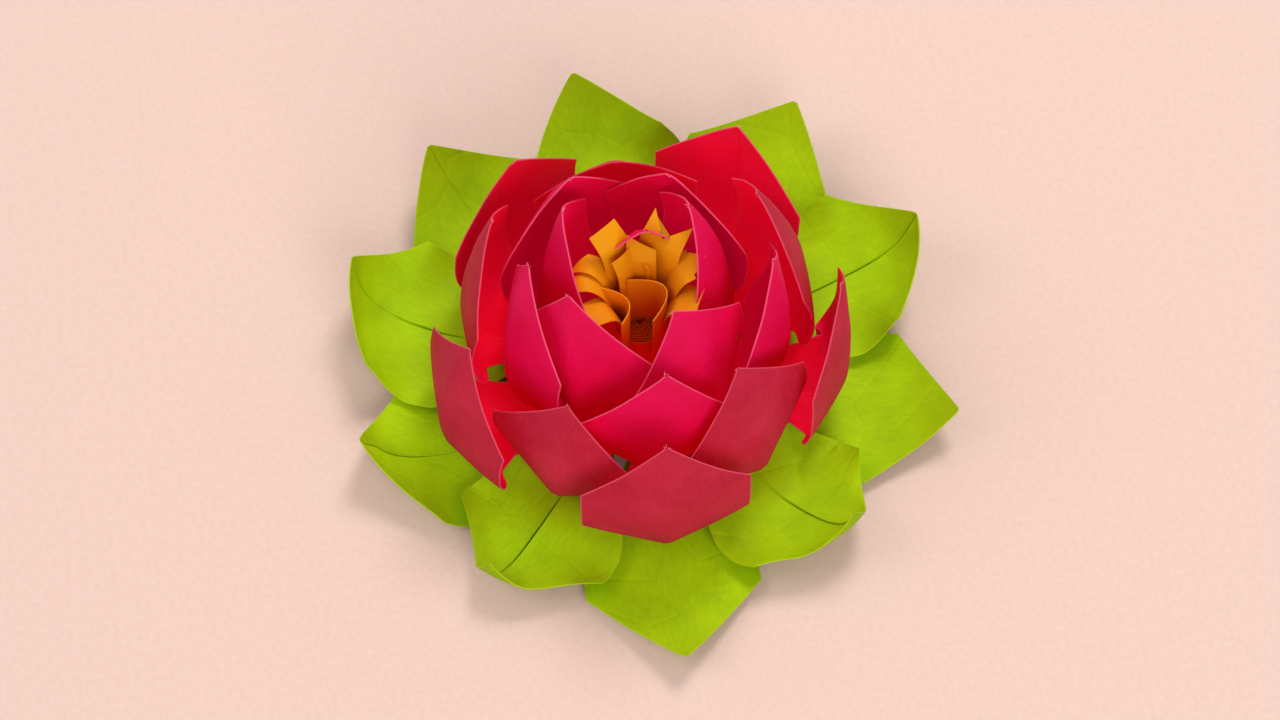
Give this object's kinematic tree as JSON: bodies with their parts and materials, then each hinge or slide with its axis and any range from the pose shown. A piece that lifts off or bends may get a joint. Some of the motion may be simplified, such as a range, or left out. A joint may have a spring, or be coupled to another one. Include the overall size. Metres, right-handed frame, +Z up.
{
  "type": "paper lotus",
  "caption": "Lotus folded from sheets of paper: pointed green leaves spread on the table, rings of cupped pink petals and a fringed yellow centre, tied at the waist.",
  "frame": {"origin": "on the flower's axis, at the surface that it stands on, under the thread", "axes": "+Z up along the flower's axis, -Y towards the front leaf"},
  "size_m": [0.1292, 0.1402, 0.0567],
  "materials": {
    "green_paper": "matte dyed paper",
    "rose_paper": "matte dyed paper",
    "yellow_paper": "matte dyed paper",
    "cotton_thread": "twisted cotton"
  },
  "bodies": {
    "root": {"leaf_sheet_left": "green_paper", "leaf_sheet_mid_left": "green_paper", "leaf_sheet_middle": "green_paper", "leaf_sheet_mid_right": "green_paper", "leaf_sheet_right": "green_paper", "outer_petal_sheet_left": "rose_paper", "outer_petal_sheet_mid_left": "rose_paper", "outer_petal_sheet_middle": "rose_paper", "outer_petal_sheet_mid_right": "rose_paper", "outer_petal_sheet_right": "rose_paper", "inner_petal_sheet_left": "rose_paper", "inner_petal_sheet_mid_left": "rose_paper", "inner_petal_sheet_middle": "rose_paper", "inner_petal_sheet_mid_right": "rose_paper", "inner_petal_sheet_right": "rose_paper", "stamen_roll": "yellow_paper", "binding_thread": "cotton_thread"}
  },
  "joints": []
}
